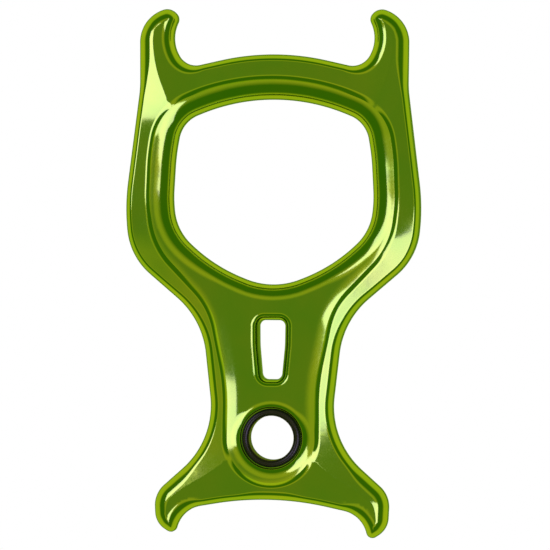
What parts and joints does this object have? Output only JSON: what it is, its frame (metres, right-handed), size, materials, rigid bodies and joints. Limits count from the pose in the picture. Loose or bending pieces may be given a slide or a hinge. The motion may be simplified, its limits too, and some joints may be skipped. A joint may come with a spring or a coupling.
{
  "type": "rescue rope descender",
  "caption": "Hot-forged descender with a large rope eye, tapered rope slot, tie-off hooks at its corners and a lined carabiner bore, for lowering and abseiling on rope.",
  "frame": {"origin": "crown of the rope eye's inner edge, in the middle of the thickness, where the hanging body bears on whatever carries it", "axes": "+X across the body towards the viewer's right, +Y through the thickness to the back, +Z along the body from the bore to the rope eye; the front faces -Y"},
  "size_m": [0.095, 0.0138, 0.1696],
  "materials": {
    "anodised_aluminium": "polished and anodised lime green",
    "black_liner": "black, satin moulded"
  },
  "bodies": {
    "root": {"forged_body": "anodised_aluminium", "bore_liner": "black_liner"}
  },
  "joints": []
}
